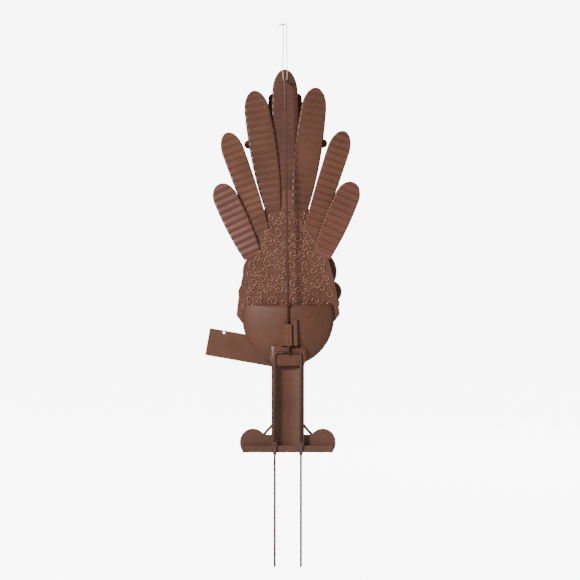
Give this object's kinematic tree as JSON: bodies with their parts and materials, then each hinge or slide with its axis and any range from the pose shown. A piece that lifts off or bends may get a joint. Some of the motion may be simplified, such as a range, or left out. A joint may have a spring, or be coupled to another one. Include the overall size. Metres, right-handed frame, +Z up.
{
  "type": "metal turkey yard stake",
  "caption": "Painted sheet-metal turkey on two folding ground stakes, with ribbed feathers, bowl belly and hanging sign.",
  "frame": {"origin": "on the ground line, midway between the two stakes, in the plane of the back panel's rear face", "axes": "+Z up, +Y the way the bird faces, +X to the right seen from behind"},
  "size_m": [0.2864, 0.0696, 0.9976],
  "materials": {
    "brown_paint": "satin",
    "stake_paint": "satin",
    "breast_paint": "satin",
    "wing_paint": "satin",
    "yellow_paint": "satin",
    "red_paint": "satin",
    "white_paint": "satin",
    "black_paint": "satin",
    "plain_wire": "brushed",
    "twine": "matte"
  },
  "bodies": {
    "stand": {"leg_channel": "brown_paint", "foot_plate": "brown_paint", "base_bar": "brown_paint", "left_brace": "brown_paint", "right_brace": "brown_paint", "support_frame": "brown_paint", "left_rivet": "brown_paint", "right_rivet": "brown_paint"},
    "bird": {"back_panel": "brown_paint", "belly_bowl": "brown_paint", "socket_bracket": "brown_paint", "spine_rod": "brown_paint", "center_feather": "brown_paint", "upper_feather_left": "brown_paint", "upper_feather_right": "brown_paint", "middle_feather_left": "brown_paint", "middle_feather_right": "brown_paint", "lower_feather_left": "brown_paint", "lower_feather_right": "brown_paint", "breast_shell": "breast_paint", "left_wing": "wing_paint", "right_wing": "wing_paint", "neck_plate": "brown_paint", "head_shell": "breast_paint", "beak": "yellow_paint", "wattle": "red_paint", "left_eye": "white_paint", "right_eye": "white_paint", "left_pupil": "black_paint", "right_pupil": "black_paint", "hat_crown": "black_paint", "hat_brim": "black_paint", "hat_band": "yellow_paint", "hat_buckle": "yellow_paint", "sign_hook": "plain_wire", "twine_left": "twine", "twine_right": "twine", "twine_knot": "twine"},
    "sign": {"sign_plate": "brown_paint", "sign_wire": "plain_wire"},
    "left_stake": {"left_stake": "stake_paint"},
    "right_stake": {"right_stake": "stake_paint"}
  },
  "joints": [
    {"name": "lift_off", "type": "slide", "parent": "stand", "child": "bird", "axis": [0, 0, 1], "range_m": [0, 0.034]},
    {"name": "left_stake_fold", "type": "hinge", "parent": "stand", "child": "left_stake", "pos_m": [-0.024, -0.0282, 0.0148], "axis": [0, 1, 0], "range_deg": [0, 120]},
    {"name": "right_stake_fold", "type": "hinge", "parent": "stand", "child": "right_stake", "pos_m": [0.024, -0.0282, 0.0148], "axis": [0, -1, 0], "range_deg": [0, 120]},
    {"name": "sign_rock", "type": "hinge", "parent": "bird", "child": "sign", "pos_m": [-0.075, 0.022, 0.286], "axis": [0, 1, 0], "range_deg": [-20, 20]}
  ]
}
